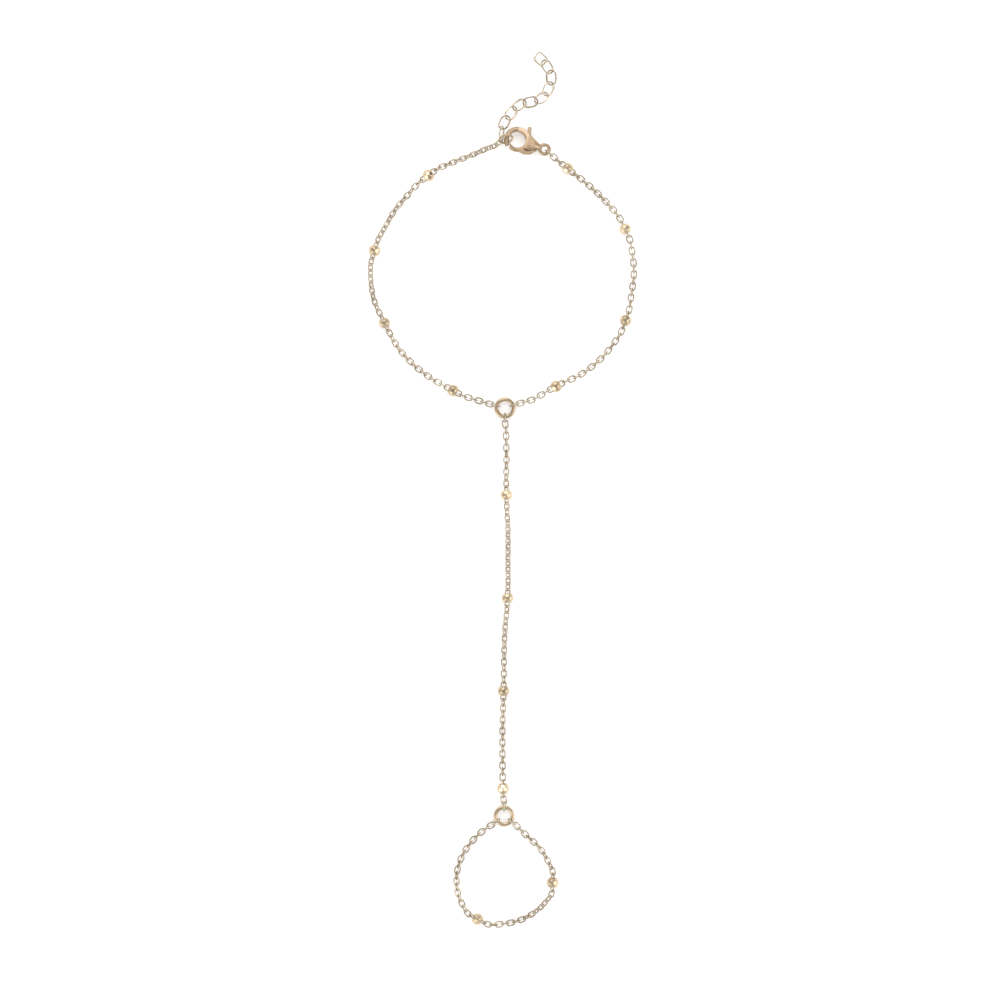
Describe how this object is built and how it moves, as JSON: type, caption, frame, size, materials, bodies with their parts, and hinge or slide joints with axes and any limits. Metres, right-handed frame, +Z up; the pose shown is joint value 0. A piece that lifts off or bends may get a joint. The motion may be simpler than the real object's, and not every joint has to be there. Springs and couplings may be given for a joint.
{
  "type": "hand chain bracelet",
  "caption": "Fine cable chain bracelet with round beads, joined by a straight chain to a finger loop, with a lobster claw clasp and an extender chain.",
  "frame": {"origin": "middle of the chain's outline on the table that it lies on", "axes": "+Y from the finger loop to the clasp, +X to the right as seen from above, +Z up from the table"},
  "size_m": [0.054, 0.1752, 0.0034],
  "materials": {
    "chain": "pale gold plated and polished",
    "clasp": "satin gold plated",
    "beads": "bright gold plated and polished"
  },
  "bodies": {
    "bracelet": {"wrist_chain_left": "chain", "wrist_chain_right": "chain", "hand_chain": "chain", "finger_chain": "chain", "extender_chain": "chain", "wrist_ring": "chain", "finger_ring": "chain", "catch_ring": "chain", "clasp_body": "clasp", "clasp_pin": "clasp", "wrist_bead_1": "beads", "wrist_bead_2": "beads", "wrist_bead_3": "beads", "wrist_bead_4": "beads", "wrist_bead_5": "beads", "wrist_bead_6": "beads", "wrist_bead_7": "beads", "wrist_bead_8": "beads", "hand_bead_1": "beads", "hand_bead_2": "beads", "hand_bead_3": "beads", "hand_bead_4": "beads", "finger_bead_1": "beads", "finger_bead_2": "beads"},
    "lever": {"clasp_lever": "clasp"}
  },
  "joints": [
    {"name": "clasp_lever_hinge", "type": "hinge", "parent": "bracelet", "child": "lever", "pos_m": [0.0052, 0.06819, 0.00168], "axis": [-0.0565, -0.1642, -0.9848], "range_deg": [0, 7], "stiffness_Nm_per_rad": 0.00005, "springref_deg": -5.73}
  ]
}
